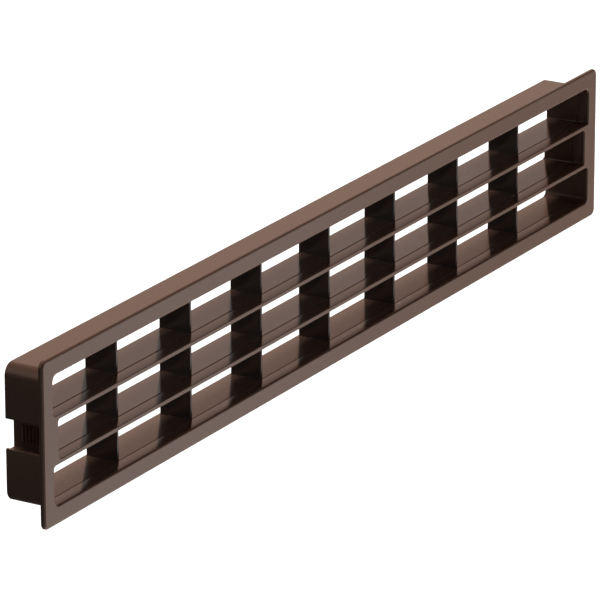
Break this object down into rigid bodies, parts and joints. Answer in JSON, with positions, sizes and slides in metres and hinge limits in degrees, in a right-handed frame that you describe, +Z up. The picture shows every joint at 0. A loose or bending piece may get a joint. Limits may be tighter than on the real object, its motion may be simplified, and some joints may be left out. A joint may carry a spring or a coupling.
{
  "type": "door ventilation grille",
  "caption": "One half of a two-part ventilation grille for a door leaf: a face frame and a collar around rows of open cells, with toothed latch walls at its ends.",
  "frame": {"origin": "middle of the cut-out that the collar fills, in the plane of the door face (the back face of the face frame)", "axes": "+X along the grille to the right as seen from the room, +Y into the door leaf, +Z up"},
  "size_m": [0.4582, 0.0217, 0.0694],
  "materials": {
    "face": "dark brown moulded plastic with a fine satin gloss",
    "collar": "dark brown moulded plastic with a soft satin gloss",
    "lattice": "dark brown moulded plastic, polished by the mould, with a clear gloss",
    "latch": "dark brown moulded plastic with a soft satin gloss"
  },
  "bodies": {
    "root": {"face_frame": "face", "collar_top": "collar", "collar_bottom": "collar", "slat_lower": "lattice", "slat_upper": "lattice", "latch_wall_left": "latch", "latch_wall_right": "latch", "fin_bottom_1": "lattice", "fin_bottom_2": "lattice", "fin_bottom_3": "lattice", "fin_bottom_4": "lattice", "fin_bottom_5": "lattice", "fin_bottom_6": "lattice", "fin_bottom_7": "lattice", "fin_middle_1": "lattice", "fin_middle_2": "lattice", "fin_middle_3": "lattice", "fin_middle_4": "lattice", "fin_middle_5": "lattice", "fin_middle_6": "lattice", "fin_middle_7": "lattice", "fin_top_1": "lattice", "fin_top_2": "lattice", "fin_top_3": "lattice", "fin_top_4": "lattice", "fin_top_5": "lattice", "fin_top_6": "lattice", "fin_top_7": "lattice"}
  },
  "joints": []
}
